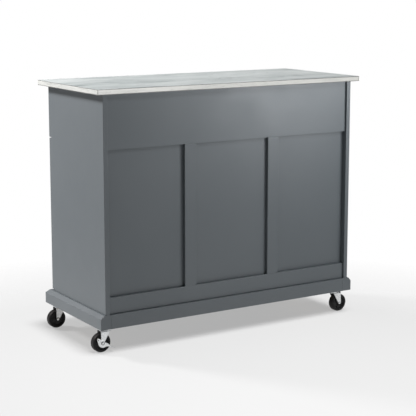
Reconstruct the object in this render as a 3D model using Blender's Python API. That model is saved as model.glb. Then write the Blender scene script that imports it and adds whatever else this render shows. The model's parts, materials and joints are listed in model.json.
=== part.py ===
"""Kitchen island cart: a painted cabinet with a stone-look worktop on four swivel casters.

The row frame stands on the floor under the middle of the worktop. +Z is up, the drawers and
doors face -Y, the panelled back faces +Y, and +X is to the right of a person facing the doors.
All sizes are in metres.
"""

import math

import bmesh
import bpy
from mathutils import Matrix, Vector

GAP = 0.0003  # left between pieces that touch or rest on each other

# Worktop
HEIGHT = 0.892
TOP_WIDTH = 1.067
TOP_DEPTH = 0.463
TOP_THICK = 0.018
TOP_UNDERSIDE = HEIGHT - TOP_THICK

# Carcass
HALF_WIDTH = 0.507
BACK_Y = 0.2155
FRONT_Y = -0.1865
BOARD = 0.016
DIVIDER_X = 0.1715
RAIL_DEPTH = 0.020
TOP_RAIL_HEIGHT = 0.020
DRAWER_RAIL_Z = (0.680, 0.700)
INNER_X = HALF_WIDTH - BOARD
SHELF_Z = 0.405
SHELF_SETBACK = 0.036
OPEN_SHELF_SETBACK = 0.008

# Panelled back
BACK_SHEET = (0.1895, 0.1955)
BACK_FRAME_THICK = 0.012
BACK_TOP_RAIL_Z = 0.690
BACK_BOTTOM_RAIL_Z = 0.194
BACK_STILE_WIDTH = 0.045

# Base mouldings
BASE_BOTTOM = 0.088
BASE_TOP = 0.137
BASE_REACH = 0.018
BASE_CHAMFER = 0.012
BASE_SIDE_THICK = 0.038
BASE_FRONT_THICK = 0.048
CASTER_BOARD_WIDTH = 0.070
CASTER_BOARD_THICK = 0.020

# Doors and drawers
FRONT_THICK = 0.018
FRONT_BACK_Y = -0.1885
REVEAL = 0.0015
OUTER_REVEAL = 0.002
DOOR_Z = (0.141, 0.6885)
DRAWER_FRONT_Z = (0.6915, 0.8705)
DOOR_BORDER = 0.055
DRAWER_BORDER = 0.040
PANEL_SLOPE = 0.004
PANEL_RECESS = 0.006
HINGE_INSET = 0.002
HINGE_Z = (0.215, 0.610)
KNOB_FROM_EDGE = 0.028
KNOB_BELOW_DOOR_TOP = 0.060

# Drawer boxes and their centre guides
BOX_SIDE_CLEARANCE = 0.002
BOX_WALL = 0.012
BOX_BOTTOM = 0.006
BOX_Z = (DRAWER_RAIL_Z[1] + GAP, 0.835)
BOX_BACK_Y = 0.150
BOX_SKIRT = 0.014
RUNNER_WIDTH = 0.020
RUNNER_HEIGHT = 0.013

# Casters
CASTER_X = 0.476
CASTER_BACK_Y = 0.165
CASTER_FRONT_Y = -0.187
TRAIL = 0.026
WHEEL_RADIUS = 0.033
WHEEL_HALF_WIDTH = 0.012
HUB_RADIUS = 0.009
WEB_HALF = 0.0065
RIM_INNER = 0.0235
AXLE_RADIUS = 0.003
AXLE_HEAD = 0.0055
AXLE_HEAD_THICK = 0.0015
LEG_INNER_Y = 0.0135
LEG_THICK = 0.002
LEG_TIP_RADIUS = 0.007
CROWN_Z = (0.0738, 0.0768)
RACE_TOP = 0.0809
RACE_RADIUS = 0.021
KING_PIN_RADIUS = 0.0042
PLATE_SIZE = 0.052
PLATE_THICK = 0.0025
BRAKE_THICK = 0.0015

PAINT = ((0.155, 0.175, 0.190), 0.45, 0.0)
STONE = ((0.780, 0.785, 0.780), 0.25, 0.0)
BIRCH = ((0.640, 0.470, 0.290), 0.55, 0.0)
ZINC = ((0.740, 0.750, 0.760), 0.35, 1.0)
BLACK = ((0.015, 0.015, 0.016), 0.50, 0.0)
NICKEL = ((0.620, 0.600, 0.570), 0.30, 1.0)


# Building blocks

def clear_scene():
    for old in list(bpy.data.objects):
        bpy.data.objects.remove(old, do_unlink=True)


def give_material(obj, finish):
    colour, roughness, metallic = finish
    material = bpy.data.materials.new(obj.name)
    material.use_nodes = True
    shader = material.node_tree.nodes["Principled BSDF"]
    shader.inputs["Base Color"].default_value = (*colour, 1.0)
    shader.inputs["Roughness"].default_value = roughness
    shader.inputs["Metallic"].default_value = metallic
    obj.data.materials.append(material)


def add_object(name, bm, finish=None, location=(0, 0, 0), parent=None, smooth=False):
    """Turns a bmesh into a named object at a place given in its parent's frame."""
    bmesh.ops.recalc_face_normals(bm, faces=bm.faces)
    mesh = bpy.data.meshes.new(name)
    bm.to_mesh(mesh)
    bm.free()
    obj = bpy.data.objects.new(name, mesh)
    bpy.context.scene.collection.objects.link(obj)
    obj.location = location
    obj.parent = parent
    if finish:
        give_material(obj, finish)
    if smooth:
        mesh.shade_smooth()
        mesh.set_sharp_from_angle(angle=math.radians(30))
    return obj


def box_mesh(low, high):
    bm = bmesh.new()
    low, high = Vector(low), Vector(high)
    size, centre = high - low, (high + low) / 2
    bmesh.ops.create_cube(bm, size=1.0, matrix=Matrix.Translation(centre) @ Matrix.Diagonal((*size, 1.0)))
    return bm


def box(name, low, high, finish):
    """A board between two corners, with its origin in its middle."""
    low, high = Vector(low), Vector(high)
    centre = (low + high) / 2
    return add_object(name, box_mesh(low - centre, high - centre), finish, centre)


def prism_mesh(outline, axis, low, high):
    """An outline extruded along X or Y. The outline gives (y, z) or (x, z) points."""
    bm = bmesh.new()
    ends = []
    for at in (low, high):
        points = [(at, u, v) if axis == "X" else (u, at, v) for u, v in outline]
        ends.append([bm.verts.new(p) for p in points])
    bm.faces.new(ends[0])
    bm.faces.new(reversed(ends[1]))
    for i in range(len(outline)):
        j = (i + 1) % len(outline)
        bm.faces.new((ends[0][i], ends[1][i], ends[1][j], ends[0][j]))
    return bm


def turned_mesh(profile, axis, segments=32):
    """A profile of (radius, height) points turned round Z or Y. Ends on the axis become points."""
    bm = bmesh.new()
    turn = Matrix.Identity(3) if axis == "Z" else Matrix.Rotation(math.radians(-90), 3, "X")
    rings = []
    for radius, height in profile:
        count = segments if radius > 0 else 1
        ring = []
        for k in range(count):
            a = 2 * math.pi * k / segments
            ring.append(bm.verts.new(turn @ Vector((radius * math.cos(a), radius * math.sin(a), height))))
        rings.append(ring)
    closed = profile[0][0] > 0 and profile[-1][0] > 0
    pairs = list(zip(rings, rings[1:] + (rings[:1] if closed else [])))
    for lower, upper in pairs[: len(rings) if closed else len(rings) - 1]:
        for k in range(segments):
            n = (k + 1) % segments
            corners = [lower[k % len(lower)], lower[n % len(lower)], upper[n % len(upper)], upper[k % len(upper)]]
            bm.faces.new(list(dict.fromkeys(corners)))
    return bm


def cylinder_mesh(radius, low, high, axis="Z", segments=24, centre=(0, 0, 0)):
    bm = turned_mesh([(0, low), (radius, low), (radius, high), (0, high)], axis, segments)
    bmesh.ops.translate(bm, verts=bm.verts, vec=centre)
    return bm


def combine(obj, bm, operation):
    """Joins a hidden helper shape to an object, or cuts it away."""
    helper = add_object(f"{obj.name}_{operation.lower()}_{len(obj.modifiers)}", bm, parent=obj)
    helper.hide_render = True
    helper.display_type = "WIRE"
    step = obj.modifiers.new(helper.name, "BOOLEAN")
    step.operation = operation
    step.solver = "EXACT"
    step.object = helper


def arc(centre, radius, start, end, steps):
    """Points along an arc, with its angles in degrees."""
    angles = [math.radians(start + (end - start) * i / steps) for i in range(steps + 1)]
    return [(centre[0] + radius * math.cos(a), centre[1] + radius * math.sin(a)) for a in angles]


# Worktop and carcass

def make_worktop():
    low = (-TOP_WIDTH / 2, -TOP_DEPTH / 2, TOP_UNDERSIDE + GAP)
    box("worktop", low, (TOP_WIDTH / 2, TOP_DEPTH / 2, HEIGHT), STONE)


def make_side_panels():
    for side, name in ((-1, "side_panel_left"), (1, "side_panel_right")):
        x0, x1 = sorted((side * INNER_X, side * HALF_WIDTH))
        box(name, (x0, FRONT_Y, BASE_TOP + GAP), (x1, BACK_Y, TOP_UNDERSIDE), PAINT)


def make_cabinet_floor():
    low = (-INNER_X + GAP, FRONT_Y, BASE_TOP + GAP)
    box("cabinet_floor", low, (INNER_X - GAP, BACK_SHEET[0] - GAP, BASE_TOP + GAP + BOARD), PAINT)


def make_dividers():
    """Upright boards between the bays, notched in front for the two rails that cross them."""
    foot = BASE_TOP + BOARD + 2 * GAP
    notch_y = FRONT_Y + RAIL_DEPTH + GAP
    back = BACK_SHEET[0] - GAP
    rail_low, rail_high = DRAWER_RAIL_Z[0] - GAP, DRAWER_RAIL_Z[1] + GAP
    outline = [
        (FRONT_Y, foot),
        (back, foot),
        (back, TOP_UNDERSIDE),
        (notch_y, TOP_UNDERSIDE),
        (notch_y, TOP_UNDERSIDE - TOP_RAIL_HEIGHT - GAP),
        (FRONT_Y, TOP_UNDERSIDE - TOP_RAIL_HEIGHT - GAP),
        (FRONT_Y, rail_high),
        (notch_y, rail_high),
        (notch_y, rail_low),
        (FRONT_Y, rail_low),
    ]
    for side, name in ((-1, "divider_left"), (1, "divider_right")):
        bm = prism_mesh(outline, "X", -BOARD / 2, BOARD / 2)
        add_object(name, bm, PAINT, (side * DIVIDER_X, 0, 0))


def make_front_rails():
    x = INNER_X - GAP
    y0, y1 = FRONT_Y, FRONT_Y + RAIL_DEPTH
    box("front_rail_top", (-x, y0, TOP_UNDERSIDE - TOP_RAIL_HEIGHT), (x, y1, TOP_UNDERSIDE), PAINT)
    box("drawer_rail", (-x, y0, DRAWER_RAIL_Z[0]), (x, y1, DRAWER_RAIL_Z[1]), PAINT)


def bays():
    """Name and inner X limits of each bay, from left to right."""
    near, far = DIVIDER_X - BOARD / 2, DIVIDER_X + BOARD / 2
    return (("left", -INNER_X, -far), ("center", -near, near), ("right", far, INNER_X))


def make_shelves():
    for name, x0, x1 in bays():
        setback = OPEN_SHELF_SETBACK if name == "center" else SHELF_SETBACK
        low = (x0 + GAP, FRONT_Y + setback, SHELF_Z)
        box(f"shelf_{name}", low, (x1 - GAP, BACK_SHEET[0] - GAP, SHELF_Z + BOARD), PAINT)


def make_panelled_back():
    """One sheet closes all the bays, and two rails and two stiles lie on it, between the sides."""
    x = INNER_X - GAP
    bottom, top = BASE_TOP + GAP, TOP_UNDERSIDE
    box("back_panel", (-x, BACK_SHEET[0], bottom), (x, BACK_SHEET[1], top), PAINT)
    y0 = BACK_SHEET[1] + GAP
    y1 = BACK_SHEET[1] + BACK_FRAME_THICK
    box("back_rail_top", (-x, y0, BACK_TOP_RAIL_Z), (x, y1, top), PAINT)
    box("back_rail_bottom", (-x, y0, bottom), (x, y1, BACK_BOTTOM_RAIL_Z), PAINT)
    for side, name in ((-1, "back_stile_left"), (1, "back_stile_right")):
        x0 = side * DIVIDER_X - BACK_STILE_WIDTH / 2
        low = (x0, y0, BACK_BOTTOM_RAIL_Z + GAP)
        box(name, low, (x0 + BACK_STILE_WIDTH, y1, BACK_TOP_RAIL_Z - GAP), PAINT)


# Base mouldings

def moulding_profile(thick):
    """(distance in from the outer face, height) round a moulding with its top edge chamfered."""
    return [
        (0, BASE_BOTTOM),
        (0, BASE_TOP - BASE_CHAMFER),
        (BASE_CHAMFER, BASE_TOP),
        (thick, BASE_TOP),
        (thick, BASE_BOTTOM),
    ]


def make_base():
    """Mitred mouldings along the front and both ends, and a flush board across the back."""
    outer_x = HALF_WIDTH + BASE_REACH
    outer_y = FRONT_BACK_Y - FRONT_THICK - BASE_REACH
    for side, name in ((-1, "plinth_left"), (1, "plinth_right")):
        bm = bmesh.new()
        profile = moulding_profile(BASE_SIDE_THICK)
        front = [bm.verts.new((side * (outer_x - t), outer_y + t + GAP, z)) for t, z in profile]
        back = [bm.verts.new((side * (outer_x - t), BACK_Y, z)) for t, z in profile]
        bridge(bm, front, back)
        add_object(name, bm, PAINT)
    bm = bmesh.new()
    profile = moulding_profile(BASE_FRONT_THICK)
    left = [bm.verts.new((-(outer_x - t - GAP), outer_y + t, z)) for t, z in profile]
    right = [bm.verts.new((outer_x - t - GAP, outer_y + t, z)) for t, z in profile]
    bridge(bm, left, right)
    add_object("plinth_front", bm, PAINT)
    x = outer_x - BASE_SIDE_THICK - GAP
    box("plinth_back", (-x, BACK_Y - BASE_SIDE_THICK, BASE_BOTTOM), (x, BACK_Y, BASE_TOP), PAINT)


def bridge(bm, start, end):
    """Closes the solid between two matching loops of vertices."""
    bm.faces.new(start)
    bm.faces.new(reversed(end))
    for i in range(len(start)):
        j = (i + 1) % len(start)
        bm.faces.new((start[i], end[i], end[j], start[j]))


def make_caster_boards():
    inner = HALF_WIDTH + BASE_REACH - BASE_SIDE_THICK - GAP
    front = FRONT_BACK_Y - FRONT_THICK - BASE_REACH + BASE_FRONT_THICK + GAP
    back = BACK_Y - BASE_SIDE_THICK - GAP
    for side, name in ((-1, "base_board_left"), (1, "base_board_right")):
        x0, x1 = sorted((side * (inner - CASTER_BOARD_WIDTH), side * inner))
        box(name, (x0, front, BASE_BOTTOM), (x1, back, BASE_BOTTOM + CASTER_BOARD_THICK), BIRCH)


# Doors and drawers

def panelled_front_mesh(low, high, border):
    """A routed front: a flat border round a field sunk behind a short slope."""
    bm = box_mesh(low, high)
    bm.faces.ensure_lookup_table()
    face = min(bm.faces, key=lambda f: f.calc_center_median().y)
    bmesh.ops.inset_individual(bm, faces=[face], thickness=border)
    bmesh.ops.inset_individual(bm, faces=[face], thickness=PANEL_SLOPE)
    bmesh.ops.translate(bm, verts=face.verts, vec=(0, PANEL_RECESS, 0))
    return bm


def knob_mesh():
    """A turned knob that stands out along -Y from the face it is screwed to."""
    profile = [(0, 0), (0.0085, 0), (0.0085, 0.0015), (0.0050, 0.0045), (0.0050, 0.0110)]
    profile += [(0.0110, 0.0150), (0.0145, 0.0180), (0.0145, 0.0200), (0.0120, 0.0225), (0, 0.0235)]
    return turned_mesh([(r, -h) for r, h in profile], "Y", 24)


def make_knob(name, parent, place):
    add_object(name, knob_mesh(), NICKEL, place, parent, smooth=True)


def door_limits(side):
    inner = side * (DIVIDER_X + REVEAL)
    outer = side * (HALF_WIDTH - OUTER_REVEAL)
    return inner, outer


def make_doors():
    """Overlay doors on the two outer bays, each with its origin on its hinge line."""
    front_y = FRONT_BACK_Y - FRONT_THICK
    for side, name in ((-1, "left"), (1, "right")):
        inner, outer = door_limits(side)
        pivot = Vector((outer - side * HINGE_INSET, front_y + HINGE_INSET, 0))
        x0, x1 = sorted((inner, outer))
        low = Vector((x0, front_y, DOOR_Z[0])) - pivot
        high = Vector((x1, FRONT_BACK_Y, DOOR_Z[1])) - pivot
        door = add_object(f"door_{name}", panelled_front_mesh(low, high, DOOR_BORDER), PAINT, pivot)
        knob = Vector((inner + side * KNOB_FROM_EDGE, front_y - GAP, DOOR_Z[1] - KNOB_BELOW_DOOR_TOP))
        make_knob(f"door_knob_{name}", door, knob - pivot)
        for z, level in zip(HINGE_Z, ("lower", "upper")):
            make_hinge(f"hinge_{name}_{level}", side, z)


def make_hinge(name, side, z):
    """The cabinet half of a concealed hinge: a plate on the side panel and the arm clipped on it."""
    x = INNER_X - GAP
    plate = add_object(name, box_mesh((x - 0.003, -0.160, z - 0.018), (x, -0.140, z + 0.018)), ZINC)
    combine(plate, box_mesh((x - 0.014, -0.184, z - 0.006), (x - 0.002, -0.130, z + 0.006)), "UNION")
    plate.scale = (side, 1, 1)


def drawer_front_limits():
    edge = HALF_WIDTH - OUTER_REVEAL
    return (
        (-edge, -(DIVIDER_X + REVEAL)),
        (-(DIVIDER_X - REVEAL), DIVIDER_X - REVEAL),
        (DIVIDER_X + REVEAL, edge),
    )


def make_drawer(name, inside, limits):
    """A routed front, a box on it, and a knob, all carried by an empty at the middle of the front."""
    middle_z = sum(DRAWER_FRONT_Z) / 2
    middle = Vector(((limits[0] + limits[1]) / 2, FRONT_BACK_Y, middle_z))
    carrier = bpy.data.objects.new(f"drawer_{name}_slide", None)
    bpy.context.scene.collection.objects.link(carrier)
    carrier.location = middle
    low = Vector((limits[0], FRONT_BACK_Y - FRONT_THICK, DRAWER_FRONT_Z[0])) - middle
    high = Vector((limits[1], FRONT_BACK_Y, DRAWER_FRONT_Z[1])) - middle
    front = panelled_front_mesh(low, high, DRAWER_BORDER)
    add_object(f"drawer_front_{name}", front, PAINT, parent=carrier)
    knob_y = -FRONT_THICK + PANEL_RECESS - GAP
    make_knob(f"drawer_knob_{name}", carrier, (0, knob_y, 0))

    x0, x1 = inside[0] + BOX_SIDE_CLEARANCE, inside[1] - BOX_SIDE_CLEARANCE
    y0, y1 = FRONT_BACK_Y + GAP, BOX_BACK_Y
    box_low = Vector((x0, y0, BOX_Z[0])) - middle
    box_high = Vector((x1, y1, BOX_Z[1])) - middle
    body = add_object(f"drawer_box_{name}", box_mesh(box_low, box_high), BIRCH, parent=carrier)
    wall = Vector((BOX_WALL, BOX_WALL, BOX_SKIRT + BOX_BOTTOM))
    combine(body, box_mesh(box_low + wall, box_high - Vector((BOX_WALL, BOX_WALL, -0.01))), "DIFFERENCE")
    skirt_low = box_low + Vector((BOX_WALL, -0.01, -0.01))
    skirt_high = Vector((box_high.x - BOX_WALL, box_high.y + 0.01, box_low.z + BOX_SKIRT))
    combine(body, box_mesh(skirt_low, skirt_high), "DIFFERENCE")


def make_drawers():
    for (name, x0, x1), limits in zip(bays(), drawer_front_limits()):
        make_drawer(name, (x0, x1), limits)
        middle = (x0 + x1) / 2
        low = (middle - RUNNER_WIDTH / 2, FRONT_Y + RAIL_DEPTH - 0.012, DRAWER_RAIL_Z[1] + GAP)
        high = (middle + RUNNER_WIDTH / 2, BACK_SHEET[0] - GAP, DRAWER_RAIL_Z[1] + RUNNER_HEIGHT)
        box(f"drawer_runner_{name}", low, high, BIRCH)


# Casters. Each is built trailing along its own +X, with its origin on the swivel axis.

def make_caster_plate(name, place, turn):
    """Top plate, the boss under it, and the king pin that the fork hangs on."""
    half, top = PLATE_SIZE / 2, BASE_BOTTOM - GAP
    bottom = top - PLATE_THICK
    race = RACE_TOP + GAP
    plate = add_object(name, box_mesh((-half, -half, bottom), (half, half, top)), ZINC, place)
    plate.rotation_euler.z = turn
    head = CROWN_Z[0] - GAP
    profile = [(0, bottom + 0.001), (0.018, bottom + 0.001), (0.018, race), (KING_PIN_RADIUS, race)]
    profile += [(KING_PIN_RADIUS, head), (0.007, head), (0.007, head - 0.002), (0.004, head - 0.0035)]
    profile += [(0, head - 0.0035)]
    combine(plate, turned_mesh(profile[::-1], "Z", 24), "UNION")
    for x in (-1, 1):
        for y in (-1, 1):
            centre = (x * (half - 0.007), y * (half - 0.007), 0)
            screw = cylinder_mesh(0.0035, bottom - 0.0015, bottom + 0.001, segments=12, centre=centre)
            combine(plate, screw, "UNION")


def fork_leg_outline():
    """Leg seen along the axle: upright outer edge, sloping inner edge, round tip at the axle."""
    tip = (TRAIL, WHEEL_RADIUS)
    top = CROWN_Z[1] - 0.0006
    return [(TRAIL + LEG_TIP_RADIUS, top), (-0.006, top)] + arc(tip, LEG_TIP_RADIUS, 206, 360, 8)


def make_fork(name, place, turn):
    race = cylinder_mesh(RACE_RADIUS, CROWN_Z[1] - 0.001, RACE_TOP, segments=32)
    fork = add_object(name, race, ZINC, place)
    fork.rotation_euler.z = turn
    edge = LEG_INNER_Y + LEG_THICK
    crown = box_mesh((-0.017, -edge + 0.0005, CROWN_Z[0]), (TRAIL + 0.0065, edge - 0.0005, CROWN_Z[1]))
    combine(fork, crown, "UNION")
    for y0, y1 in ((-edge, -LEG_INNER_Y), (LEG_INNER_Y, edge)):
        combine(fork, prism_mesh(fork_leg_outline(), "Y", y0, y1), "UNION")
    combine(fork, cylinder_mesh(KING_PIN_RADIUS + GAP, 0.06, 0.09), "DIFFERENCE")
    hole = cylinder_mesh(AXLE_RADIUS + GAP, -0.03, 0.03, "Y", 16, (TRAIL, 0, WHEEL_RADIUS))
    combine(fork, hole, "DIFFERENCE")
    return fork


def wheel_mesh():
    """Moulded wheel: hub, thin web and a tread with rounded shoulders, bored for the axle."""
    half = WHEEL_HALF_WIDTH
    side = [(AXLE_RADIUS + GAP, half + 0.001), (HUB_RADIUS, half + 0.001), (HUB_RADIUS + 0.001, WEB_HALF)]
    side += [(RIM_INNER, WEB_HALF), (RIM_INNER + 0.001, half - 0.001), (RIM_INNER + 0.0025, half)]
    side += arc((WHEEL_RADIUS - 0.004, half - 0.004), 0.004, 90, 0, 3)
    return turned_mesh(side + [(r, -y) for r, y in reversed(side)], "Y", 32)


def make_axle(name, fork, braked):
    inner = LEG_INNER_Y + LEG_THICK + GAP
    outer = inner + (BRAKE_THICK + GAP if braked else 0)
    profile = [(0, -inner - AXLE_HEAD_THICK), (AXLE_HEAD, -inner - AXLE_HEAD_THICK), (AXLE_HEAD, -inner)]
    profile += [(AXLE_RADIUS, -inner), (AXLE_RADIUS, outer), (AXLE_HEAD, outer)]
    profile += [(AXLE_HEAD, outer + AXLE_HEAD_THICK), (0, outer + AXLE_HEAD_THICK)]
    add_object(name, turned_mesh(profile, "Y", 16), ZINC, (TRAIL, 0, WHEEL_RADIUS), fork, smooth=True)


def brake_outline():
    """Side plate round the hub, seen along the axle, drawn out into a toe lever on the inner side."""
    outline = arc((0.0165, 0.0145), 0.0045, 95, -20, 4)
    outline += arc((-0.002, 0.004), 0.0195, -25, -110, 6)
    outline += [(-0.0230, -0.0135), (-0.0390, -0.0205), (-0.0390, -0.0170), (-0.0220, -0.0045)]
    outline += arc((0, 0), 0.0085, 165, 100, 3)
    return outline


def make_brake(name, fork):
    y0 = LEG_INNER_Y + LEG_THICK + GAP
    place = (TRAIL, 0, WHEEL_RADIUS)
    brake = add_object(name, prism_mesh(brake_outline(), "Y", y0, y0 + BRAKE_THICK), ZINC, place, fork)
    tab = [(-0.0330, -0.0170), (-0.0400, -0.0200), (-0.0400, -0.0185), (-0.0330, -0.0155)]
    combine(brake, prism_mesh(tab, "Y", y0 + 0.0005, y0 + 0.0120), "UNION")
    combine(brake, cylinder_mesh(AXLE_RADIUS + GAP, 0, 0.03, "Y", 16), "DIFFERENCE")


def make_casters():
    """Two casters at each end trail outward. The back right and front left ones have brakes."""
    for end, x_name in ((1, "right"), (-1, "left")):
        for y, y_name in ((CASTER_BACK_Y, "back"), (CASTER_FRONT_Y, "front")):
            tag = f"{y_name}_{x_name}"
            turn = 0 if end > 0 else math.pi
            place = (end * CASTER_X, y, 0)
            braked = tag in ("back_right", "front_left")
            make_caster_plate(f"caster_plate_{tag}", place, turn)
            fork = make_fork(f"caster_fork_{tag}", place, turn)
            hub = (TRAIL, 0, WHEEL_RADIUS)
            add_object(f"caster_wheel_{tag}", wheel_mesh(), BLACK, hub, fork, smooth=True)
            make_axle(f"caster_axle_{tag}", fork, braked)
            if braked:
                make_brake(f"brake_lever_{tag}", fork)


def main():
    clear_scene()
    make_worktop()
    make_side_panels()
    make_cabinet_floor()
    make_dividers()
    make_front_rails()
    make_shelves()
    make_panelled_back()
    make_base()
    make_caster_boards()
    make_doors()
    make_drawers()
    make_casters()


main()
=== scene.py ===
import json
import math

import bmesh
import bpy
from mathutils import Matrix, Vector

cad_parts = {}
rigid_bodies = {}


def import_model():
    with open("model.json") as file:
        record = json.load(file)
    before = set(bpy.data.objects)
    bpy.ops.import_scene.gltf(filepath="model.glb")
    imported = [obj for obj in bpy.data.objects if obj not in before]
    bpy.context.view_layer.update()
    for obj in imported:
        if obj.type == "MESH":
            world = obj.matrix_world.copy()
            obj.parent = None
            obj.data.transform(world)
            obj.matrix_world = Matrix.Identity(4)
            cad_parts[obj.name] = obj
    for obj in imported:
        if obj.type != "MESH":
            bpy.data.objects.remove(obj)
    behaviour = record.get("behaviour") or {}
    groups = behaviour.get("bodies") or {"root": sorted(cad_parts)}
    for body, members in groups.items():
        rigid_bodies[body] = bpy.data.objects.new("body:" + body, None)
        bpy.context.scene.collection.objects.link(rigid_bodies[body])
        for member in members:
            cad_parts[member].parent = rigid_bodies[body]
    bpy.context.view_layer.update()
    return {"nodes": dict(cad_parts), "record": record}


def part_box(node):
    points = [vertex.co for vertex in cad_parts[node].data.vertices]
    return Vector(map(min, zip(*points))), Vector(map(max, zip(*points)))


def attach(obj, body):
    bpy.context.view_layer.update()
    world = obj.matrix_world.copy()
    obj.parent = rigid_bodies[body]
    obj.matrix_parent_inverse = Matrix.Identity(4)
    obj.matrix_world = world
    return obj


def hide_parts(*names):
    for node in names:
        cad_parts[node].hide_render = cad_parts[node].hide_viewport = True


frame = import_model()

# Camera, floor and light, in metres and degrees
CAMERA_PLACE = Vector((2.327, 3.787, 1.246))
CAMERA_YAW = 31.87  # from -Y towards -X
CAMERA_DOWN = 9.59
CAMERA_LENS, SENSOR = 107.3, 36.0  # millimetres
CAMERA_SHIFT_Y = -0.05
FLOOR_HALF = 60.0
POOL_CENTRE = (0.53, 0.85, 0.0)  # the floor is plain white outside this pool of shade
POOL_RADII = (1.3, 2.1)
FLOOR_ALBEDO = 0.125
FLOOR_GLOW = 0.42
WORLD_ABOVE, WORLD_BELOW = 0.05, 0.55  # the even light from above and from below the horizon
HORIZON_BLUR = 0.05
LIGHT_CENTRE_Z = 0.45
LIGHTS = (  # name, azimuth and elevation in degrees, distance, target height, size, watts
    ("key", -53, 32, 5.0, 0.45, 1.0, 340),
    ("overhead", 0, 89, 3.5, 0.0, 4.0, 35),
)
BODY_LIGHTS = (  # the same, falling on the cart below its worktop
    ("end", -20, 42, 4.5, 0.45, 0.9, 270),
    ("back_high", 115, 46, 1.7, 0.9, 0.35, 8.0),
    ("back_near", 128, 19, 1.4, 0.9, 0.4, 5.4),
    ("back_low", 122, 6, 2.0, 0.7, 0.6, 2.9),
    ("fill", 60, 35, 5.0, 0.45, 2.5, 3),
    ("far_end", 182, 18, 4.5, 0.45, 1.5, 130),
)
WORKTOP_LIGHTS = (  # the same, falling on the worktop alone
    ("band_end", -20, 42, 4.5, 0.45, 0.9, 75),
    ("band_back", 92, 8, 4.0, 0.9, 1.5, 98),
    ("band_far", 182, 6, 4.0, 0.9, 1.5, 90),
)
FLOOR_WASH = ("floor_wash", 100, 64, 4.5, 0.0, 3.2, 810)  # the same, falling on the floor alone
LIGHT_TINTS = {  # the others are white
    "end": (1.0, 0.92, 0.887),
    "back_near": (0.945, 0.972, 1.0),
    "back_low": (0.945, 0.972, 1.0),
}
WORKTOP_PIECES = ("worktop", "edge_band")  # the first letters of their names
WASH_BLOCKERS = (  # the pieces that shade the floor from the wash
    "plinth", "base_board", "caster", "cabinet_floor", "fork", "tyre", "wheel", "brake", "plate",
)

BODY_OF = {n: b for b, members in frame["record"]["behaviour"]["bodies"].items() for n in members}
SLOT_OF = {s["node"]: s["material_slot"] for s in frame["record"]["subparts"]}
CASTERS = ("back_right", "front_right", "back_left", "front_left")
BAYS = ("left", "center", "right")


# Materials

class Tree:
    """Builds one material's node tree."""

    def __init__(self, name):
        self.material = bpy.data.materials.new(name)
        self.material.use_nodes = True
        self.nodes = self.material.node_tree.nodes
        self.links = self.material.node_tree.links
        self.shader = self.nodes["Principled BSDF"]

    def add(self, kind, inputs=None, **settings):
        node = self.nodes.new(kind)
        for key, value in settings.items():
            setattr(node, key, value)
        for key, value in (inputs or {}).items():
            self.feed(node.inputs[key], value)
        return node

    def feed(self, socket, value):
        if isinstance(value, bpy.types.NodeSocket):
            self.links.new(value, socket)
        else:
            socket.default_value = value

    def place(self, scale=(1, 1, 1), turn=(0, 0, 0)):
        """Object coordinates in metres, scaled and turned."""
        coords = self.add("ShaderNodeTexCoord")
        inputs = {"Vector": coords.outputs["Object"], "Scale": scale, "Rotation": turn}
        return self.add("ShaderNodeMapping", inputs).outputs["Vector"]

    def noise(self, vector, scale, detail=4.0, rough=0.5, distortion=0.0):
        inputs = {"Vector": vector, "Scale": scale, "Detail": detail}
        inputs.update({"Roughness": rough, "Distortion": distortion})
        return self.add("ShaderNodeTexNoise", inputs).outputs["Fac"]

    def ramp(self, value, stops):
        """A colour ramp of (position, colour) stops."""
        node = self.add("ShaderNodeValToRGB", {"Fac": value})
        elements = node.color_ramp.elements
        while len(elements) < len(stops):
            elements.new(0.5)
        for element, (at, colour) in zip(elements, stops):
            element.position = at
            element.color = (*colour, 1.0)
        return node.outputs["Color"]

    def span(self, value, low, high, from_low=0.0, from_high=1.0):
        """Maps a value from one range to another, and holds it within the new one."""
        inputs = {"Value": value, "From Min": from_low, "From Max": from_high}
        inputs.update({"To Min": low, "To Max": high})
        return self.add("ShaderNodeMapRange", inputs).outputs["Result"]

    def mix(self, factor, one, two):
        node = self.add("ShaderNodeMix", data_type="RGBA")
        self.feed(node.inputs["Factor"], factor)
        self.feed(node.inputs["A"], one if isinstance(one, bpy.types.NodeSocket) else (*one, 1.0))
        self.feed(node.inputs["B"], two if isinstance(two, bpy.types.NodeSocket) else (*two, 1.0))
        return node.outputs["Result"]

    def math(self, operation, one, two=0.0):
        node = self.add("ShaderNodeMath", operation=operation)
        self.feed(node.inputs[0], one)
        self.feed(node.inputs[1], two)
        return node.outputs["Value"]

    def bump(self, height, strength, distance, normal=None):
        inputs = {"Height": height, "Strength": strength, "Distance": distance}
        if normal:
            inputs["Normal"] = normal
        return self.add("ShaderNodeBump", inputs).outputs["Normal"]

    def surface(self, **inputs):
        """Feeds the shader's sockets, named with _ for a space, and gives the material."""
        for key, value in inputs.items():
            self.feed(self.shader.inputs[key.replace("_", " ")], value)
        return self.material


def painted_board():
    """Satin blue-grey paint: faint roller texture, slightly uneven colour and gloss."""
    t = Tree("painted_board")
    place = t.place()
    cloud = t.noise(place, 3.0, 3.0)
    fine = t.noise(place, 420.0, 2.0)
    colour = t.mix(t.span(cloud, 0.0, 1.0, 0.3, 0.7), (0.070, 0.083, 0.092), (0.079, 0.092, 0.101))
    rough = t.span(t.noise(place, 9.0, 4.0), 0.42, 0.49, 0.3, 0.7)
    roller = t.bump(fine, 0.10, 0.0006)
    t.shader.inputs["Specular IOR Level"].default_value = 0.75
    long_wave = t.bump(t.noise(t.place((1, 1, 0.35)), 14.0, 2.0), 0.05, 0.004, roller)
    return t.surface(Base_Color=colour, Roughness=rough, Normal=long_wave)


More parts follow.
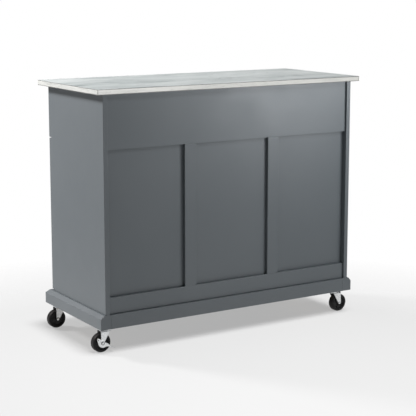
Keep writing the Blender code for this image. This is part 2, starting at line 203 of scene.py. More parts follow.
def marble_colour(t, stretch, tint_light, tint_dark):
    """Soft grey clouds and thin veins that run mostly along the worktop."""
    place = t.place(stretch, (0, 0, math.radians(7)))
    cloud = t.noise(place, 2.2, 8.0, 0.58, 0.9)
    wisps = t.noise(place, 6.0, 9.0, 0.62, 1.6)
    vein_source = t.noise(place, 3.1, 7.0, 0.55, 1.2)
    vein_gap = t.math("ABSOLUTE", t.math("SUBTRACT", vein_source, 0.5))
    vein = t.span(vein_gap, 1.0, 0.0, 0.0, 0.022)
    base = t.mix(t.span(cloud, 0.0, 1.0, 0.36, 0.66), tint_dark, tint_light)
    base = t.mix(t.span(wisps, 0.35, 0.0, 0.38, 0.60), base, tint_dark)
    strength = t.math("MULTIPLY", vein, t.span(cloud, 0.65, 0.15, 0.35, 0.65))
    return t.mix(strength, base, tuple(0.62 * c for c in tint_dark))


def marble_top():
    """Marble-look laminate, as on the upper face of the worktop."""
    t = Tree("marble_top")
    colour = marble_colour(t, (1.0, 3.0, 3.0), (0.77, 0.80, 0.795), (0.47, 0.51, 0.51))
    rough = t.span(t.noise(t.place(), 30.0, 3.0), 0.30, 0.38, 0.3, 0.7)
    t.shader.inputs["Specular IOR Level"].default_value = 0.35
    return t.surface(Base_Color=colour, Roughness=rough)


def marble_edge():
    """The paler edge band, with fine streaks along it."""
    t = Tree("marble_edge")
    colour = marble_colour(t, (2.0, 2.0, 14.0), (0.69, 0.685, 0.655), (0.53, 0.535, 0.515))
    rough = t.span(t.noise(t.place(), 40.0, 3.0), 0.34, 0.42, 0.3, 0.7)
    return t.surface(Base_Color=colour, Roughness=rough)


def backing_sheet():
    """Plain pale sheet glued to the underside of the worktop."""
    t = Tree("backing_sheet")
    mottle = t.noise(t.place(), 220.0, 3.0)
    colour = t.mix(t.span(mottle, 0.0, 1.0, 0.3, 0.7), (0.60, 0.60, 0.585), (0.68, 0.68, 0.665))
    return t.surface(Base_Color=colour, Roughness=t.span(mottle, 0.55, 0.66))


def bare_birch(name, grain, pore_grain):
    """Sanded birch, with long grain and fine pores."""
    t = Tree(name)
    rings = t.noise(t.place(grain), 3.0, 6.0, 0.6, 1.4)
    pores = t.noise(t.place(pore_grain), 1.0, 3.0)
    stops = [(0.30, (0.52, 0.35, 0.19)), (0.52, (0.66, 0.48, 0.29)), (0.72, (0.74, 0.57, 0.37))]
    colour = t.ramp(rings, stops)
    colour = t.mix(t.span(pores, 0.35, 0.0, 0.30, 0.48), colour, (0.36, 0.23, 0.12))
    bump = t.bump(pores, 0.25, 0.0004)
    return t.surface(Base_Color=colour, Roughness=t.span(rings, 0.50, 0.62), Normal=bump)


def zinc_plate():
    """Bright zinc plating with a faint mottle."""
    t = Tree("zinc_plate")
    mottle = t.noise(t.place(), 160.0, 4.0)
    colour = t.mix(t.span(mottle, 0.0, 1.0, 0.35, 0.65), (0.62, 0.63, 0.64), (0.77, 0.78, 0.78))
    rough = t.span(mottle, 0.26, 0.38, 0.3, 0.7)
    bump = t.bump(t.noise(t.place(), 900.0, 2.0), 0.08, 0.0003)
    return t.surface(Base_Color=colour, Metallic=1.0, Roughness=rough, Normal=bump)


def satin_nickel():
    """Nickel plating with a fine satin finish."""
    t = Tree("satin_nickel")
    brushed = t.noise(t.place(), 700.0, 3.0)
    rough = t.span(brushed, 0.24, 0.34, 0.3, 0.7)
    colour = t.mix(brushed, (0.60, 0.58, 0.55), (0.68, 0.66, 0.62))
    return t.surface(Base_Color=colour, Metallic=1.0, Roughness=rough)


def black_moulding(name, colour, low, high):
    """Moulded black plastic or rubber with a fine spark-eroded texture."""
    t = Tree(name)
    t.shader.inputs["Specular IOR Level"].default_value = 0.25
    fine = t.noise(t.place(), 1100.0, 2.0)
    broad = t.noise(t.place(), 60.0, 3.0)
    tint = t.mix(t.span(broad, 0.0, 1.0, 0.3, 0.7), colour, tuple(1.35 * c for c in colour))
    rough = t.span(broad, low, high)
    return t.surface(Base_Color=tint, Roughness=rough, Normal=t.bump(fine, 0.15, 0.0003))


def sheet_core_and_shade():
    """Dark resin and paper inside the laminate. As the lower core sheet it is also painted shade,
    the dark line under the worktop.
    """
    t = Tree("sheet_core_and_shade")
    mottle = t.noise(t.place(), 300.0, 3.0)
    colour = t.mix(mottle, (0.030, 0.030, 0.030), (0.050, 0.048, 0.045))
    return t.surface(Base_Color=colour, Roughness=t.span(mottle, 0.50, 0.62))


PAINT = painted_board()
CORE_AND_SHADE = sheet_core_and_shade()
MARBLE = marble_top()
MARBLE_EDGE = marble_edge()
BACKING = backing_sheet()
BIRCH = bare_birch("birch_along", (14.0, 0.9, 14.0), (260.0, 12.0, 260.0))
BIRCH_ACROSS = bare_birch("birch_across", (0.9, 14.0, 14.0), (12.0, 260.0, 260.0))
ZINC = zinc_plate()
NICKEL = satin_nickel()
TREAD = black_moulding("wheel_tread", (0.006, 0.006, 0.0065), 0.46, 0.58)
# the hub's black plastic, also used as painted shade for the axle rings and the brake rivets
HUB_AND_SHADE = black_moulding("wheel_hub_and_shade_black", (0.013, 0.013, 0.014), 0.38, 0.50)
BY_SLOT = {
    "painted_wood": PAINT,
    "worktop_laminate": MARBLE,
    "bare_birch": BIRCH,
    "zinc_plate": ZINC,
    "black_tread": TREAD,
    "satin_nickel": NICKEL,
}


# Geometry helpers

def add_box(bm, low, high):
    low, high = Vector(low), Vector(high)
    place = Matrix.Translation((low + high) / 2) @ Matrix.Diagonal((*(high - low), 1.0))
    return bmesh.ops.create_cube(bm, size=1.0, matrix=place)["verts"]


def add_lathe(bm, profile, segments=48, axis="Z", place=None, wave=None):
    """Turns (radius, height) points round Z or Y. A wave makes the radius depend on the angle."""
    turn = Matrix.Rotation(math.radians(-90), 4, "X") if axis == "Y" else Matrix.Identity(4)
    turn = (place or Matrix.Identity(4)) @ turn
    rings = []
    for index, (radius, height) in enumerate(profile):
        ring = []
        for k in range(segments if radius > 0 else 1):
            a = 2 * math.pi * k / segments
            r = radius * (wave(index, a) if wave else 1.0)
            ring.append(bm.verts.new(turn @ Vector((r * math.cos(a), r * math.sin(a), height))))
        rings.append(ring)
    closed = profile[0][0] > 0 and profile[-1][0] > 0
    pairs = list(zip(rings, rings[1:])) + ([(rings[-1], rings[0])] if closed else [])
    for lower, upper in pairs:
        for k in range(segments):
            n = (k + 1) % segments
            face = [lower[k % len(lower)], lower[n % len(lower)]]
            face += [upper[n % len(upper)], upper[k % len(upper)]]
            bm.faces.new(list(dict.fromkeys(face)))


def add_prism(bm, outline, low, high, place=None):
    """Extrudes an (x, z) outline along Y."""
    place = place or Matrix.Identity(4)
    ends = [[bm.verts.new(place @ Vector((x, y, z))) for x, z in outline] for y in (low, high)]
    bm.faces.new(ends[0])
    bm.faces.new(ends[1][::-1])
    for i in range(len(outline)):
        j = (i + 1) % len(outline)
        bm.faces.new((ends[0][i], ends[1][i], ends[1][j], ends[0][j]))


def arc(centre, radius, start, end, steps):
    """Points along an arc between two angles in degrees."""
    angles = [math.radians(start + (end - start) * i / steps) for i in range(steps + 1)]
    return [(centre[0] + radius * math.cos(a), centre[1] + radius * math.sin(a)) for a in angles]


def rounded(outline, radius, steps=5):
    """Rounds the corners of an outline with short curves."""
    points = [Vector(p) for p in outline]
    result = []
    for i, corner in enumerate(points):
        before, after = points[i - 1] - corner, points[(i + 1) % len(points)] - corner
        reach = min(radius, before.length * 0.45, after.length * 0.45)
        start, end = corner + before.normalized() * reach, corner + after.normalized() * reach
        for k in range(steps + 1):
            t = k / steps
            result.append(tuple(start * (1 - t) ** 2 + corner * 2 * t * (1 - t) + end * t * t))
    return result


def solid(name, bm, body, slot, material=None, stands_for=(), edge=0.0, segments=2, sharp=32):
    """Makes a piece from a bmesh, gives it its body and its slot's material, and hides the nodes it
    stands for.
    """
    bmesh.ops.recalc_face_normals(bm, faces=bm.faces)
    mesh = bpy.data.meshes.new(name)
    bm.to_mesh(mesh)
    bm.free()
    piece = bpy.data.objects.new(name, mesh)
    bpy.context.scene.collection.objects.link(piece)
    mesh.materials.append(material or BY_SLOT[slot])
    mesh.shade_smooth()
    if edge:
        ease(piece, edge, segments, sharp)
    else:
        mesh.set_sharp_from_angle(angle=math.radians(sharp))
    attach(piece, body)
    if stands_for:
        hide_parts(*stands_for)
    return piece


def ease(piece, width, segments, angle):
    """Bevels the edges that are sharper than an angle in degrees."""
    bevel = piece.modifiers.new("eased_edges", "BEVEL")
    bevel.width = width
    bevel.segments = segments
    bevel.limit_method = "ANGLE"
    bevel.angle_limit = math.radians(angle)
    bevel.harden_normals = True


def middle(node):
    low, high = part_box(node)
    return (low + high) / 2


# Boards that keep their CAD shape

BOARD_EDGE = 0.0012
BASE_EDGE = {"plinth_back": 0.0002, "plinth_left": 0.0005, "plinth_right": 0.0005}
WELD_DISTANCE = 0.00001
REBUILT = ("worktop", "caster", "brake", "hinge", "knob", "drawer_box")


def dress(name, edge):
    """Gives a CAD node its finish, and eases its sharp edges by a fraction of a millimetre."""
    node = frame["nodes"][name]
    node.data.materials.clear()
    node.data.materials.append(BY_SLOT[SLOT_OF[name]])
    if "custom_normal" in node.data.attributes:
        node.data.attributes.remove(node.data.attributes["custom_normal"])
    node.data.shade_smooth()
    weld = node.modifiers.new("weld", "WELD")
    weld.merge_threshold = WELD_DISTANCE
    ease(node, edge, 3, 28)


for name in frame["nodes"]:
    if not any(word in name for word in REBUILT):
        dress(name, BASE_EDGE.get(name, BOARD_EDGE))


# Worktop: a board between two laminate sheets, with four thin edge bands

EDGE_BAND = 0.001
BAND_JOINT = 0.0002
CORNER_JOINT = 0.0015
SHEET = 0.0003
SHEET_CORE = 0.0012
CORE_INSET = 0.0002
SHEET_EDGE = 0.00014
BAND_EDGE = 0.0003


def build_worktop():
    """The sheets' dark cores show as thin lines above and below the edge bands. The lower line is
    painted shade, a dark sheet that stands in for the shadow under the worktop.
    """
    low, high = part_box("worktop")
    inset = Vector((EDGE_BAND + BAND_JOINT, EDGE_BAND + BAND_JOINT, 0))
    lip = Vector((CORE_INSET, CORE_INSET, 0))
    band_low, band_high = low.z + SHEET + SHEET_CORE, high.z - SHEET - SHEET_CORE

    def layer(name, corner, far_corner, material, edge=0.0, stands_for=()):
        bm = bmesh.new()
        add_box(bm, corner, far_corner)
        solid(name, bm, "cabinet", "worktop_laminate", material, stands_for, edge, 3)

    def band(end, x0, y0, x1, y1):
        corners = (x0, y0, band_low), (x1, y1, band_high)
        layer(f"edge_band_{end}", *corners, MARBLE_EDGE, BAND_EDGE)

    def at(corner, z):
        return Vector((corner.x, corner.y, z))

    layer("worktop_sheet", at(low, high.z - SHEET), high, MARBLE, SHEET_EDGE, ["worktop"])
    layer("worktop_backer", low, at(high, low.z + SHEET), BACKING, SHEET_EDGE)
    layer("worktop_core_high", at(low, band_high) + lip, at(high, high.z - SHEET) - lip, CORE_AND_SHADE)
    # painted shade: this lower dark core sheet stands in for the shadow line under the worktop
    layer("worktop_core_low", at(low, low.z + SHEET) + lip, at(high, band_low) - lip, CORE_AND_SHADE)
    layer("worktop_board", at(low, band_low) + inset, at(high, band_high) - inset, CORE_AND_SHADE)
    for end, x0 in (("left", low.x), ("right", high.x - EDGE_BAND)):
        band(end, x0, low.y, x0 + EDGE_BAND, high.y)
    x0, x1 = low.x + EDGE_BAND + CORNER_JOINT, high.x - EDGE_BAND - CORNER_JOINT
    for end, y0 in (("front", low.y), ("back", high.y - EDGE_BAND)):
        band(end, x0, y0, x1, y0 + EDGE_BAND)


# Drawer boxes

def build_drawer_box(bay):
    """Four walls with a bottom let in between them, and two screws into the drawer front."""
    node = f"drawer_box_{bay}"
    body = BODY_OF[node]
    low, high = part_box(node)
    wall, bottom, skirt, seam = 0.012, 0.006, 0.014, 0.0003
    top_drop, screw_inset, screw_radius, sunk, rise = 0.004, 0.06, 0.0042, 0.0002, 0.01
    middle_z = (low.z + high.z) / 2
    for side, x0 in (("left", low.x), ("right", high.x - wall)):
        bm = bmesh.new()
        add_box(bm, (x0, low.y, low.z), (x0 + wall, high.y, high.z))
        stands_for = [node] if side == "left" else ()
        solid(f"{node}_side_{side}", bm, body, "bare_birch", stands_for=stands_for,
              edge=BOARD_EDGE, segments=3)
    x0, x1 = low.x + wall + seam, high.x - wall - seam
    for end, y0 in (("front", low.y), ("back", high.y - wall)):
        bm = bmesh.new()
        add_box(bm, (x0, y0, low.z + skirt), (x1, y0 + wall, high.z - top_drop))
        solid(f"{node}_{end}", bm, body, "bare_birch", BIRCH_ACROSS, edge=BOARD_EDGE, segments=3)
    bm = bmesh.new()
    z0 = low.z + skirt
    add_box(bm, (x0, low.y + wall + seam, z0), (x1, high.y - wall - seam, z0 + bottom))
    solid(f"{node}_bottom", bm, body, "bare_birch", edge=0.0003)
    for number, x in enumerate((low.x + screw_inset, high.x - screw_inset)):
        place = Matrix.Translation((x, low.y + wall - sunk, middle_z + rise))
        build_screw(f"{node}_screw_{number}", body, place, "Y", screw_radius)


def build_screw(name, body, place, axis, radius):
    """A pan head with a cross recess."""
    profile = [(0, 0.0004), (0.30, 0.0004), (0.36, 0.00145), (0.62, 0.0014), (0.88, 0.0009)]
    profile += [(1.0, 0.0003), (1.0, 0), (0, 0)]
    profile = [(r * radius, z) for r, z in profile]

    def wave(index, a):
        return 1.0 + 0.75 * abs(math.cos(2 * a)) ** 6 if index in (1, 2) else 1.0

    bm = bmesh.new()
    add_lathe(bm, profile, 32, axis, place, wave)
    solid(name, bm, body, "zinc_plate", sharp=45)


# Knobs

def build_knob(node):
    """A turned knob on a small foot, standing out towards -Y."""
    low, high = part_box(node)
    centre = (low + high) / 2
    place = Matrix.Translation((centre.x, high.y, centre.z)) @ Matrix.Rotation(math.pi, 4, "Z")
    full, reach = (high.x - low.x) / 2, high.y - low.y
    profile = [(0, 0), (0.58, 0), (0.585, 0.03), (0.55, 0.075), (0.44, 0.14), (0.36, 0.24)]
    profile += [(0.33, 0.36), (0.36, 0.48), (0.48, 0.58), (0.70, 0.66), (0.90, 0.73), (0.985, 0.79)]
    profile += [(1.0, 0.83), (0.985, 0.87), (0.92, 0.92), (0.78, 0.965), (0.55, 0.99), (0.28, 1.0)]
    profile += [(0, 1.0)]
    bm = bmesh.new()
    add_lathe(bm, [(r * full, h * reach) for r, h in profile], 64, "Y", place)
    solid(f"{node}_turned", bm, BODY_OF[node], "satin_nickel", stands_for=[node], sharp=60)


# Concealed hinges

def build_hinge(node, door, side):
    """A screwed plate on the cabinet wall, an arm with two adjusters, and a cup in the door."""
    low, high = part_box(node)
    wall_x = high.x if side > 0 else low.x
    middle_z = (low.z + high.z) / 2
    plate_y, plate_half, plate_thick = low.y + 0.034, 0.010, 0.0022
    arm_foot, arm_top = 0.0026, 0.0118
    adjusters = (plate_y + 0.004, plate_y - 0.012)
    cup_setback, screw_inset = 0.0225, 0.0055

    def span(x0, x1):
        return sorted((wall_x - side * x0, wall_x - side * x1))

    bm = bmesh.new()
    x0, x1 = span(0, plate_thick)
    y0, y1 = plate_y - plate_half, plate_y + plate_half
    outline = rounded([(y0, low.z), (y1, low.z), (y1, high.z), (y0, high.z)], 0.004)
    turn = Matrix.Rotation(math.radians(90), 4, "Z")
    add_prism(bm, outline, -x1, -x0, turn)
    solid(f"{node}_plate", bm, "cabinet", "zinc_plate", stands_for=[node], edge=0.0005)
    bm = bmesh.new()
    x0, x1 = span(arm_foot, arm_top)
    arm = [(low.y, middle_z - 0.0055), (high.y, middle_z - 0.0050)]
    arm = rounded(arm + [(high.y, middle_z + 0.0050), (low.y, middle_z + 0.0055)], 0.0035)
    add_prism(bm, arm, -x1, -x0, turn)
    solid(f"{node}_arm", bm, "cabinet", "zinc_plate", edge=0.0014, segments=3)
    face = Matrix.Rotation(-side * math.pi / 2, 4, "Y")
    for level, z in (("low", low.z + screw_inset), ("high", high.z - screw_inset)):
        place = Matrix.Translation((wall_x - side * plate_thick, plate_y, z)) @ face
        build_screw(f"{node}_screw_{level}", "cabinet", place, "Z", 0.0034)
    for number, y in enumerate(adjusters):
        place = Matrix.Translation((wall_x - side * arm_top, y, middle_z)) @ face
        build_screw(f"{node}_adjuster_{number}", "cabinet", place, "Z", 0.0030)
    door_low, door_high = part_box(door)
    cup_x = (door_high.x if side > 0 else door_low.x) - side * cup_setback
    cup = Matrix.Translation((cup_x, door_high.y, middle_z))
    bm = bmesh.new()
    rim = [(0, 0.0002), (0.0148, 0.0002), (0.0154, 0.0004), (0.0160, 0.0009), (0.0168, 0.0009)]
    rim += [(0.0175, 0.0006), (0.0175, 0), (0, 0)]
    add_lathe(bm, rim, 48, "Y", cup)
    solid(f"{node}_cup", bm, BODY_OF[door], "zinc_plate")


# Casters

LEG_THICK = 0.002
LEG_OUTER_Y = 0.0155
TIP_RADIUS = 0.0052
LEG_TAPER = 0.56
BEND = 0.0055
CHANNEL_DEPTH, CHANNEL_WIDTH = 0.0007, 0.17  # the width as a share of the leg
CROWN_BACK = -0.0165
CROWN_DROP = 0.0041


def caster_frame(tag):
    """The matrix of a caster's own frame, which trails along +X, its trail and its axle height."""
    plate, wheel = middle(f"caster_plate_{tag}"), middle(f"caster_wheel_{tag}")
    trail = wheel.x - plate.x
    turn = Matrix.Rotation(0 if trail > 0 else math.pi, 4, "Z")
    return Matrix.Translation((plate.x, plate.y, 0)) @ turn, abs(trail), wheel.z


def build_fork(tag):
    """Two pressed legs that taper to round tips, bent out of one crown, under a rolled race."""
    place, trail, axle_z = caster_frame(tag)
    body = BODY_OF[f"caster_fork_{tag}"]
    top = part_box(f"caster_fork_{tag}")[1].z
    crown_z = top - CROWN_DROP
    mid_y, mid_z = LEG_OUTER_Y - LEG_THICK / 2, crown_z - LEG_THICK / 2
    slope_low = axle_z - 0.44 * TIP_RADIUS
    slope_x = trail - 0.90 * TIP_RADIUS
    bend_low = mid_z - BEND

    def leg_span(z):
        """X limits of the leg at a height."""
        reach = math.sqrt(max(TIP_RADIUS ** 2 - (z - axle_z) ** 2, 0.0))
        outer = trail + (TIP_RADIUS if z >= axle_z else reach)
        inner = trail - reach if z < slope_low else slope_x - LEG_TAPER * (z - slope_low)
        return inner, outer

    stations = []  # Y, Z, X limits and depth of the pressed channel
    for k in range(9):  # round tip
        z = axle_z - TIP_RADIUS * math.cos(math.radians(8 + 82 * k / 8))
        stations.append((mid_y, z, leg_span(z), 0.0))
    for k in range(1, 15):  # tapered leg
        z = axle_z + (bend_low - axle_z) * k / 14
        stations.append((mid_y, z, leg_span(z), math.sin(math.pi * k / 14) ** 0.5))
    for k in range(1, 8):  # bend into the crown, which widens to the far side of the race
        a = math.pi / 2 * k / 7
        z = bend_low + BEND * math.sin(a)
        inner, outer = leg_span(z)
        flare = 0.5 - 0.5 * math.cos(math.pi * k / 7)
        inner += (CROWN_BACK - inner) * flare
        stations.append((mid_y - BEND + BEND * math.cos(a), z, (inner, outer), 0.0))
    path = stations + [(-y, z, reach, press) for y, z, reach, press in reversed(stations)]
    bm = bmesh.new()
    across = 12
    rows = []
    for y, z, (inner, outer), press in path:
        row = []
        for k in range(across + 1):
            t = k / across
            channel = math.exp(-((t - 0.5) / CHANNEL_WIDTH) ** 2) * CHANNEL_DEPTH * press
            x = inner + (outer - inner) * t
            row.append(bm.verts.new((x, y - math.copysign(channel, y), z)))
        rows.append(row)
    for one, two in zip(rows, rows[1:]):
        for k in range(across):
            bm.faces.new((one[k], one[k + 1], two[k + 1], two[k]))
    bmesh.ops.transform(bm, matrix=place, verts=bm.verts)
    fork = solid(f"fork_legs_{tag}", bm, body, "zinc_plate", stands_for=[f"caster_fork_{tag}"])
    skin = fork.modifiers.new("plate", "SOLIDIFY")
    skin.thickness = LEG_THICK
    skin.offset = 0
    ease(fork, 0.0004, 2, 50)
    bm = bmesh.new()
    race = [(0.0050, crown_z), (0.0205, crown_z), (0.0210, crown_z + 0.0006)]
    race += [(0.0210, top - 0.0010), (0.0204, top - 0.0002), (0.0198, top), (0.0186, top)]
    race += [(0.0182, top - 0.0008), (0.0050, top - 0.0008)]
    add_lathe(bm, race, 64, "Z", place)
    solid(f"fork_race_{tag}", bm, body, "zinc_plate", sharp=40)


def build_plate(tag):
    """The top plate with its screws, the boss, and the riveted king pin."""
    place, _, _ = caster_frame(tag)
    node = f"caster_plate_{tag}"
    low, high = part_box(node)
    half, thick, screw_inset = (high.x - low.x) / 2, 0.0025, 0.007
    under = high.z - thick
    bm = bmesh.new()
    square = rounded([(-half, -half), (half, -half), (half, half), (-half, half)], 0.006)
    flat = place @ Matrix.Translation((0, 0, high.z)) @ Matrix.Rotation(math.radians(-90), 4, "X")
    add_prism(bm, square, 0, thick, flat)
    solid(f"plate_{tag}", bm, "cabinet", "zinc_plate", stands_for=[node], edge=0.0005)
    race_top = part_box(f"caster_fork_{tag}")[1].z
    bm = bmesh.new()
    boss = [(0, under + 0.0003), (0.0185, under + 0.0003), (0.0180, under - 0.0008)]
    boss += [(0.0172, race_top + 0.0010), (0.0166, race_top + 0.0003), (0, race_top + 0.0003)]
    add_lathe(bm, boss, 48, "Z", place)
    solid(f"plate_boss_{tag}", bm, "cabinet", "zinc_plate")
    bm = bmesh.new()
    pin = [(0, race_top - 0.0006), (0.0040, race_top - 0.0006), (0.0040, low.z + 0.0034)]
    pin += [(0.0066, low.z + 0.0034), (0.0069, low.z + 0.0030), (0.0066, low.z + 0.0016)]
    pin += [(0.0050, low.z + 0.0005), (0.0025, low.z), (0, low.z)]
    add_lathe(bm, pin, 40, "Z", place)
    solid(f"king_pin_{tag}", bm, "cabinet", "zinc_plate")
    for number, (x, y) in enumerate(((-1, -1), (1, -1), (1, 1), (-1, 1))):
        spot = Matrix.Translation((x * (half - screw_inset), y * (half - screw_inset), under))
        head_down = place @ spot @ Matrix.Rotation(math.pi, 4, "X")
        build_screw(f"plate_screw_{tag}_{number}", "cabinet", head_down, "Z", 0.0040)


def build_wheel(tag):
    """Tyre with rounded shoulders on a moulded centre with a hub, a thin web and five ribs."""
    node = f"caster_wheel_{tag}"
    body = BODY_OF[node]
    low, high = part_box(node)
    place = Matrix.Translation((low + high) / 2)
    radius, half = (high.z - low.z) / 2, (high.y - low.y) / 2 - 0.001
    side = [(0.0244, half - 0.0016), (0.0250, half - 0.0006), (0.0262, half - 0.0001)]
    side += [(0.0276, half), (0.0288, half - 0.0002), (0.0292, half - 0.0006)]
    side += [(0.0298, half - 0.0006)]
    side += arc((radius - 0.0050, half - 0.0050), 0.0050, 62, 6, 7)
    side += [(radius, 0.0035), (radius, 0.0)]
    bm = bmesh.new()
    add_lathe(bm, side + [(r, -y) for r, y in reversed(side[:-1])], 72, "Y", place)
    solid(f"tyre_{tag}", bm, body, "black_tread", TREAD, [node], sharp=40)
    core = [(0.0034, half + 0.0008), (0.0080, half + 0.0008), (0.0088, half), (0.0094, 0.0072)]
    core += [(0.0104, 0.0064), (0.0212, 0.0064), (0.0222, 0.0074), (0.0230, half - 0.0016)]
    core += [(0.0240, half - 0.0012)]
    bm = bmesh.new()
    add_lathe(bm, core + [(r, -y) for r, y in reversed(core)], 72, "Y", place)
    solid(f"wheel_centre_{tag}", bm, body, "black_tread", HUB_AND_SHADE, sharp=40)
    bm = bmesh.new()
    ribs = 5
    for k in range(ribs):
        turn = place @ Matrix.Rotation(2 * math.pi * k / ribs, 4, "Y")
        verts = add_box(bm, (0.0085, -0.0098, -0.0009), (0.0228, 0.0098, 0.0009))
        bmesh.ops.transform(bm, matrix=turn, verts=verts)
    solid(f"wheel_ribs_{tag}", bm, body, "black_tread", HUB_AND_SHADE, edge=0.0004)


def build_axle(tag):
    """A bolt with a domed head on one side and a hexagon nut on the other."""
    node = f"caster_axle_{tag}"
    body = BODY_OF[node]
    low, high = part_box(node)
    place, trail, axle_z = caster_frame(tag)
    y0, y1 = sorted((place.inverted() @ corner).y for corner in (low, high))
    spot = place @ Matrix.Translation((trail, 0, axle_z))
    head, radius = 0.0015, 0.43 * (high.z - low.z)
    bm = bmesh.new()
    bolt = [(0, y1), (0.45 * radius, y1 - 0.0001), (0.80 * radius, y1 - 0.0005)]
    bolt += [(radius, y1 - head), (0.0030, y1 - head), (0.0030, y0 + head)]
    bolt += [(0.0030, y0 + 0.0002), (0.0026, y0), (0, y0)]
    add_lathe(bm, bolt, 40, "Y", spot)
    solid(f"axle_bolt_{tag}", bm, body, "zinc_plate", stands_for=[node], sharp=40)
    bm = bmesh.new()
    nut = [(0.0031, y0 + head), (radius, y0 + head), (radius, y0 + 0.0005)]
    nut += [(radius * 0.88, y0 + 0.0002), (0.0031, y0 + 0.0002)]
    add_lathe(bm, nut, 6, "Y", spot)
    solid(f"axle_nut_{tag}", bm, body, "zinc_plate", edge=0.0002)
    # painted shade: a thin black ring under the domed head stands in for the shadow gap round it
    bm = bmesh.new()
    y0, y1 = y1 - head - 0.0002, y1 - head + 0.0003
    shade_ring_profile = [(0.0031, y0), (0.0064, y0), (0.0064, y1), (0.0031, y1)]
    add_lathe(bm, shade_ring_profile, 40, "Y", spot)
    solid(f"axle_washer_{tag}", bm, body, "black_tread", HUB_AND_SHADE)


def build_brake(tag):
    """A pressed brake plate round the hub, drawn out into a foot lever."""
    node = f"brake_lever_{tag}"
    place, trail, axle_z = caster_frame(tag)
    hub = place @ Matrix.Translation((trail, 0, axle_z))
    y0 = LEG_OUTER_Y + 0.0003
    thick, toe_low, toe_high = 0.0015, 0.0008, 0.0118
    outline = arc((0.0165, 0.0145), 0.0045, 95, -20, 10)
    outline += arc((-0.002, 0.004), 0.0195, -25, -110, 14)
    outline += [(-0.0150, -0.0128), (-0.0230, -0.0140), (-0.0312, -0.0172), (-0.0388, -0.0203)]
    outline += [(-0.0390, -0.0172), (-0.0300, -0.0128), (-0.0220, -0.0058), (-0.0155, -0.0008)]
    outline += arc((0, 0), 0.0085, 165, 100, 8)
    bm = bmesh.new()
    add_prism(bm, outline, y0, y0 + thick, hub)
    solid(f"brake_plate_{tag}", bm, BODY_OF[node], "zinc_plate", stands_for=[node], edge=0.0004)
    tab = [(-0.0300, -0.0128), (-0.0345, -0.0152), (-0.0392, -0.0182)]
    tab += [(-0.0396, -0.0196), (-0.0340, -0.0170), (-0.0305, -0.0146)]
    bm = bmesh.new()
    add_prism(bm, tab, y0 + toe_low, y0 + toe_high, hub)
    solid(f"brake_toe_{tag}", bm, BODY_OF[node], "zinc_plate", edge=0.0004)
    # painted shade: the rivet at the pivot is black so that it stands in for the dark hole in the
    # brake plate
    bm = bmesh.new()
    pivot = Matrix.Translation((0.0160, 0, 0.0128))
    shade_rivet_profile = [(0, y0 + 0.0021), (0.0012, y0 + 0.0020), (0.0020, y0 + 0.0016)]
    shade_rivet_profile += [(0.0020, y0 + 0.0012), (0, y0 + 0.0012)]
    add_lathe(bm, shade_rivet_profile, 24, "Y", hub @ pivot)
    solid(f"brake_rivet_{tag}", bm, BODY_OF[node], "black_tread", HUB_AND_SHADE)


# Small fittings

def build_shelf_pins(bay):
    """Four nickel pins under a shelf, in the boards on both sides of it."""
    low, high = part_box(f"shelf_{bay}")
    inset, drop, sunk = 0.05, 0.0029, 0.0002
    pin = [(0, 0), (0.0045, 0), (0.0045, 0.0010), (0.0026, 0.0014), (0.0026, 0.0082)]
    pin += [(0.0021, 0.0088), (0, 0.0088)]
    for number, (x, side) in enumerate(((low.x, 1), (high.x, -1), (low.x, 1), (high.x, -1))):
        y = low.y + inset if number < 2 else high.y - inset
        place = Matrix.Translation((x - side * sunk, y, low.z - drop))
        bm = bmesh.new()
        add_lathe(bm, pin, 24, "Z", place @ Matrix.Rotation(side * math.pi / 2, 4, "Y"))
        solid(f"shelf_pin_{bay}_{number}", bm, "cabinet", "satin_nickel")


def build_bumpers(door, side):
    """Two soft dots on the back of a door, where it meets the divider."""
    low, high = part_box(door)
    x = (low.x if side > 0 else high.x) + side * 0.008
    dot = [(0, 0.0014), (0.0024, 0.0013), (0.0036, 0.0009), (0.0040, 0.0003), (0.0040, 0), (0, 0)]
    for level, z in (("low", low.z + 0.03), ("high", high.z - 0.02)):
        bm = bmesh.new()
        add_lathe(bm, dot, 32, "Y", Matrix.Translation((x, high.y, z)))
        solid(f"{door}_bumper_{level}", bm, BODY_OF[door], "black_tread", HUB_AND_SHADE)


build_worktop()
for bay in BAYS:
    build_drawer_box(bay)
    build_shelf_pins(bay)
    build_knob(f"drawer_knob_{bay}")
for side, end in ((-1, "left"), (1, "right")):
    build_knob(f"door_knob_{end}")
    build_bumpers(f"door_{end}", side)
    for level in ("lower", "upper"):
        build_hinge(f"hinge_{end}_{level}", f"door_{end}", side)
for tag in CASTERS:
    build_fork(tag)
    build_plate(tag)
    build_wheel(tag)
    build_axle(tag)
    if f"brake_lever_{tag}" in frame["nodes"]:
        build_brake(tag)


# Floor, light and camera

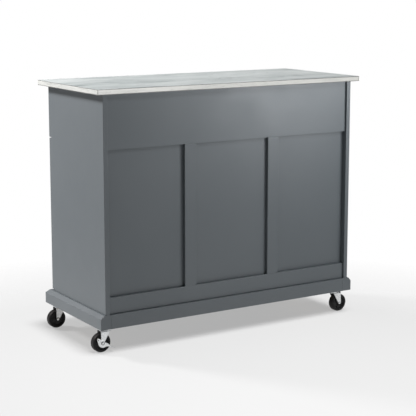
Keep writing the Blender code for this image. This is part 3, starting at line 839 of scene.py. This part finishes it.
def make_floor():
    """A pale floor that fades into the white surround, and is clear from below."""
    bm = bmesh.new()
    bmesh.ops.create_grid(bm, x_segments=1, y_segments=1, size=FLOOR_HALF)
    mesh = bpy.data.meshes.new("floor")
    bm.to_mesh(mesh)
    bm.free()
    floor = bpy.data.objects.new("floor", mesh)
    bpy.context.scene.collection.objects.link(floor)
    t = Tree("floor")
    away = t.add("ShaderNodeVectorMath", {0: t.place(), 1: POOL_CENTRE}, operation="DISTANCE")
    fade = t.span(away.outputs["Value"], 0.0, 1.0, *POOL_RADII)
    t.surface(Base_Color=(FLOOR_ALBEDO, FLOOR_ALBEDO, FLOOR_ALBEDO, 1.0), Roughness=0.6)
    t.shader.inputs["Specular IOR Level"].default_value = 0.2
    glow = t.add("ShaderNodeEmission", {"Strength": FLOOR_GLOW})
    clear = t.add("ShaderNodeBsdfTransparent")
    pool = t.add("ShaderNodeAddShader", {0: t.shader.outputs[0], 1: glow.outputs[0]})
    blend = t.add("ShaderNodeMixShader", {0: fade, 1: pool.outputs[0], 2: clear.outputs[0]})
    below = t.add("ShaderNodeNewGeometry").outputs["Backfacing"]
    both = t.add("ShaderNodeMixShader", {0: below, 1: blend.outputs[0], 2: clear.outputs[0]})
    t.links.new(both.outputs[0], t.nodes["Material Output"].inputs["Surface"])
    mesh.materials.append(t.material)


def make_world():
    """Dim even light all round, brighter from below, which the camera sees as plain white."""
    world = bpy.data.worlds.new("studio")
    world.use_nodes = True
    nodes, links = world.node_tree.nodes, world.node_tree.links
    dim, white = nodes["Background"], nodes.new("ShaderNodeBackground")
    dim.inputs["Color"].default_value = white.inputs["Color"].default_value = (1.0, 1.0, 1.0, 1.0)
    height = nodes.new("ShaderNodeSeparateXYZ")
    links.new(nodes.new("ShaderNodeTexCoord").outputs["Generated"], height.inputs[0])
    horizon = nodes.new("ShaderNodeMapRange")
    limits = {"From Min": -HORIZON_BLUR, "From Max": HORIZON_BLUR}
    limits.update({"To Min": WORLD_BELOW, "To Max": WORLD_ABOVE})
    for socket, value in limits.items():
        horizon.inputs[socket].default_value = value
    links.new(height.outputs["Z"], horizon.inputs["Value"])
    links.new(horizon.outputs["Result"], dim.inputs["Strength"])
    white.inputs["Strength"].default_value = 1.0
    seen, blend = nodes.new("ShaderNodeLightPath"), nodes.new("ShaderNodeMixShader")
    links.new(seen.outputs["Is Camera Ray"], blend.inputs[0])
    links.new(dim.outputs[0], blend.inputs[1])
    links.new(white.outputs[0], blend.inputs[2])
    links.new(blend.outputs[0], nodes["World Output"].inputs["Surface"])
    bpy.context.scene.world = world


def soft_light(name, azimuth, elevation, distance, target_z, size, watts):
    """A round soft light, placed by its direction and distance from a point above the origin."""
    light = bpy.data.lights.new(name, "AREA")
    light.shape = "DISK"
    light.size = size
    light.energy = watts
    light.color = LIGHT_TINTS.get(name, (1.0, 1.0, 1.0))
    lamp = bpy.data.objects.new(name, light)
    bpy.context.scene.collection.objects.link(lamp)
    a, e = math.radians(azimuth), math.radians(elevation)
    back = Vector((math.cos(e) * math.cos(a), math.cos(e) * math.sin(a), math.sin(e)))
    lamp.location = Vector((0, 0, LIGHT_CENTRE_Z)) + distance * back
    ahead = Vector((0, 0, target_z)) - lamp.location
    lamp.rotation_euler = ahead.to_track_quat("-Z", "Y").to_euler()
    lamp.visible_camera = False
    return lamp


def group(name, pieces):
    """A collection that a light can be limited to."""
    collection = bpy.data.collections.new(name)
    for piece in pieces:
        collection.objects.link(piece)
    return collection


def named(*starts):
    """The meshes whose names start in one of these ways. All of them do with ""."""
    meshes = (piece for piece in bpy.data.objects if piece.type == "MESH")
    return [piece for piece in meshes if piece.name.startswith(starts)]


def light_stage():
    """Lights for all, for the body, the worktop and the floor, where only low parts give shade."""
    others = named("floor", *WORKTOP_PIECES)
    body = group("body_only", [piece for piece in named("") if piece not in others])
    top = group("worktop_only", named(*WORKTOP_PIECES))
    floor = group("floor_only", named("floor"))
    low_parts = group("low_parts", named(*WASH_BLOCKERS))
    for light in LIGHTS:
        soft_light(*light)
    bpy.data.objects["key"].visible_glossy = False  # its glare would wash out the end panel
    for lights, receivers in ((BODY_LIGHTS, body), (WORKTOP_LIGHTS, top)):
        for light in lights:
            soft_light(*light).light_linking.receiver_collection = receivers
    wash = soft_light(*FLOOR_WASH)
    wash.light_linking.receiver_collection = floor
    wash.light_linking.blocker_collection = low_parts


def make_camera():
    camera = bpy.data.cameras.new("camera")
    camera.lens = CAMERA_LENS
    camera.sensor_width = SENSOR
    camera.shift_y = CAMERA_SHIFT_Y
    eye = bpy.data.objects.new("camera", camera)
    bpy.context.scene.collection.objects.link(eye)
    yaw, down = math.radians(CAMERA_YAW), math.radians(CAMERA_DOWN)
    level = math.cos(down)
    ahead = Vector((-math.sin(yaw) * level, -math.cos(yaw) * level, -math.sin(down)))
    eye.location = CAMERA_PLACE
    eye.rotation_euler = ahead.to_track_quat("-Z", "Y").to_euler()
    bpy.context.scene.camera = eye


make_floor()
make_world()
light_stage()
make_camera()
bpy.context.scene.view_settings.view_transform = "Standard"
